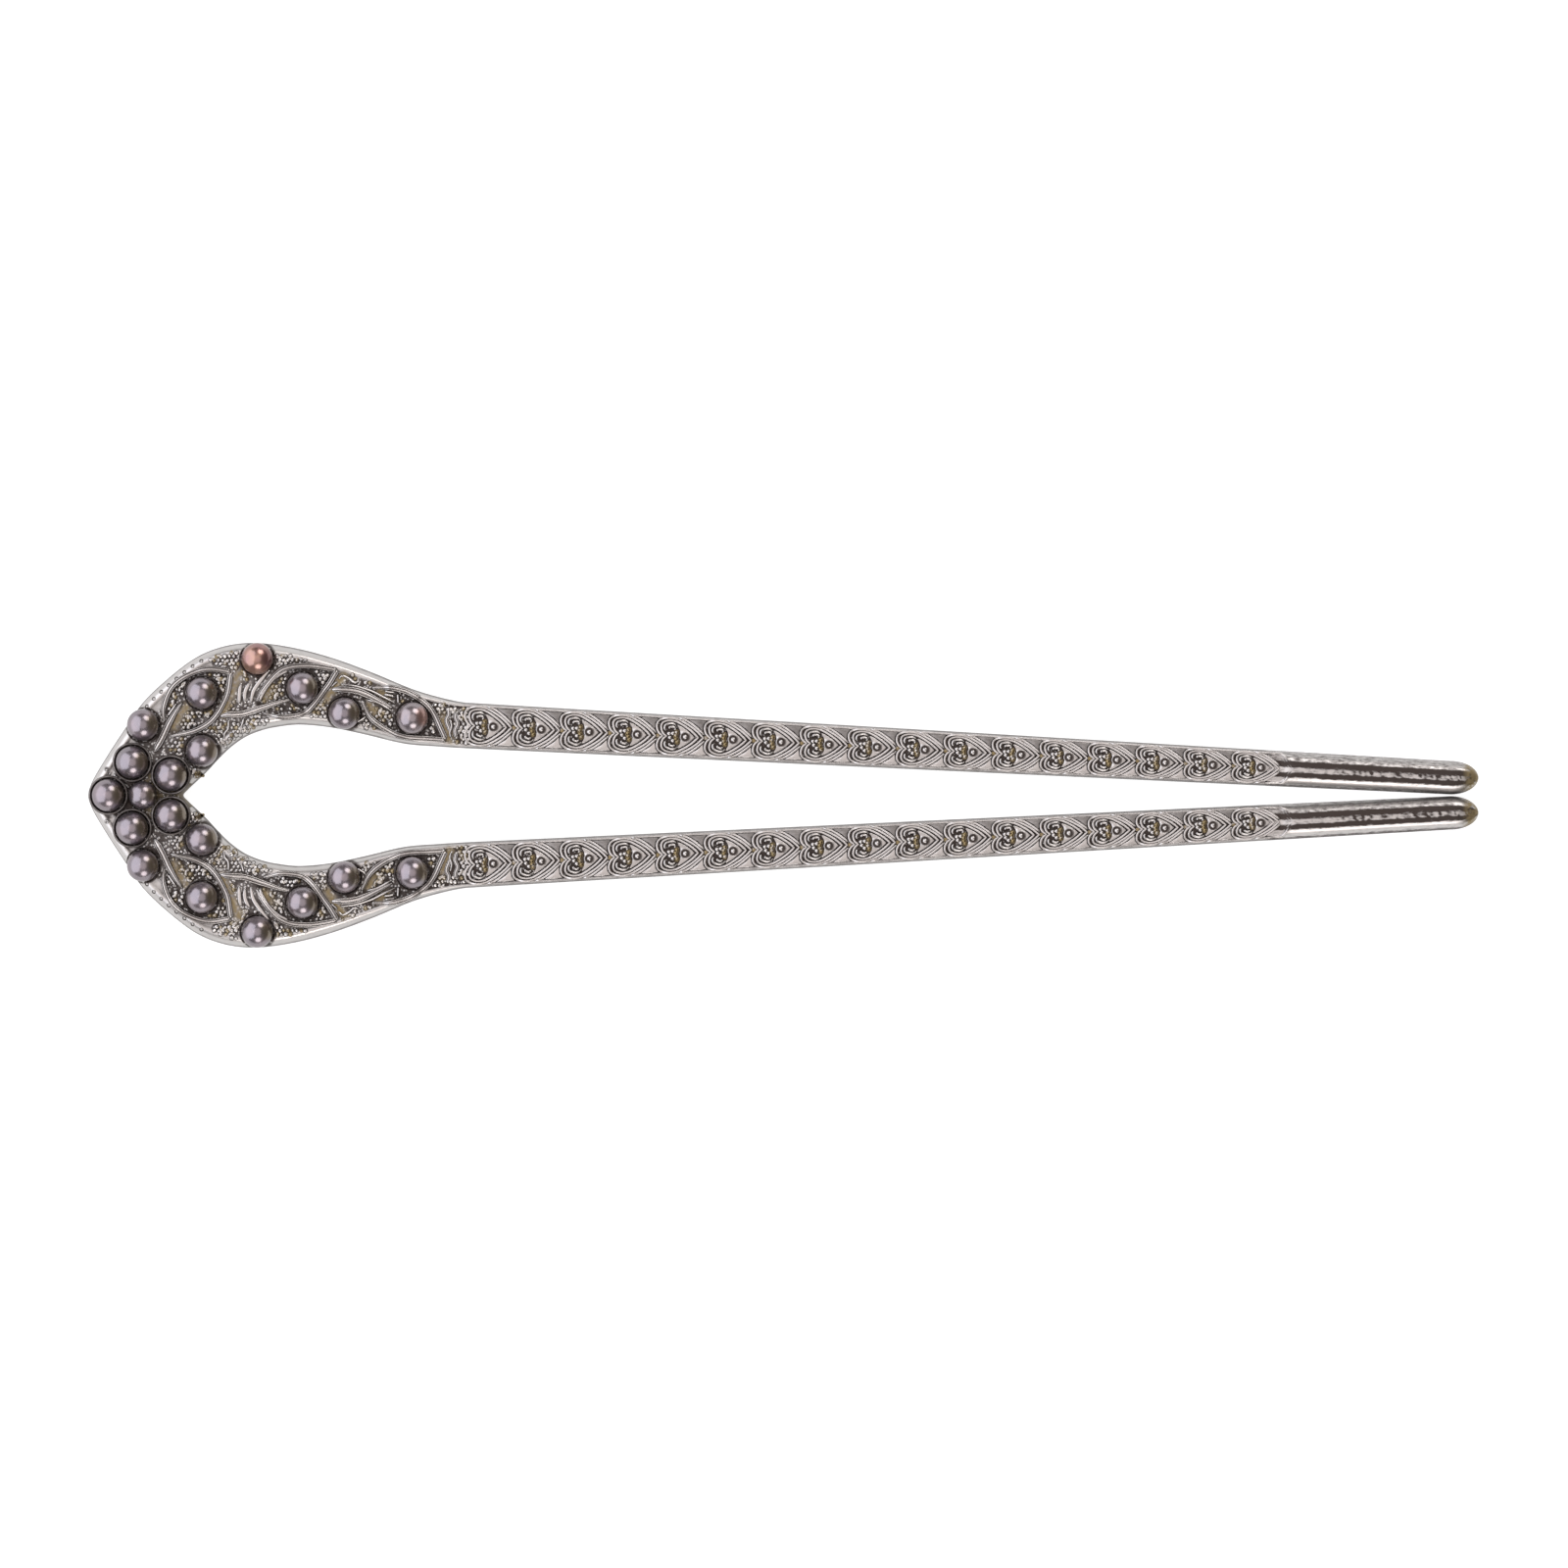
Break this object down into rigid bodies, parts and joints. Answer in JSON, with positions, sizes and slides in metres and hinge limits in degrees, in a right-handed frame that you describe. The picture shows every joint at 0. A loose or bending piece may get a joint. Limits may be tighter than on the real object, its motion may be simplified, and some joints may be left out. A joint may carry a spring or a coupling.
{
  "type": "hair fork",
  "caption": "Two-pronged metal hair fork: an open loop head with a pearl flower, leaf scrolls and set pearls, and straight prongs with a row of raised hearts.",
  "frame": {"origin": "centre of the footprint of the whole fork, on the plane of its flat back", "axes": "+X towards the tips of the prongs, +Y to the left seen from the head, +Z out of the decorated face"},
  "size_m": [0.17, 0.0374, 0.0057],
  "materials": {
    "antique_silver": "silver-plated casting, darkened in its recesses",
    "grey_pearl": "dark grey-mauve pearl lustre",
    "rose_pearl": "rose-copper pearl lustre",
    "two_tone_pearl": "grey pearl lustre with a copper tint on one side"
  },
  "bodies": {
    "root": {"fork": "antique_silver", "pearl_centre": "grey_pearl", "pearl_petal_1": "grey_pearl", "pearl_petal_2": "grey_pearl", "pearl_petal_3": "grey_pearl", "pearl_petal_4": "grey_pearl", "pearl_petal_5": "grey_pearl", "pearl_brow_left": "grey_pearl", "pearl_brow_right": "grey_pearl", "pearl_notch_left": "grey_pearl", "pearl_notch_right": "grey_pearl", "pearl_leaf_1_left": "grey_pearl", "pearl_leaf_1_right": "grey_pearl", "pearl_rim_left": "rose_pearl", "pearl_rim_right": "grey_pearl", "pearl_leaf_2_left": "grey_pearl", "pearl_leaf_2_right": "grey_pearl", "pearl_bend_left": "grey_pearl", "pearl_bend_right": "grey_pearl", "pearl_leaf_3_left": "two_tone_pearl", "pearl_leaf_3_right": "grey_pearl"}
  },
  "joints": []
}
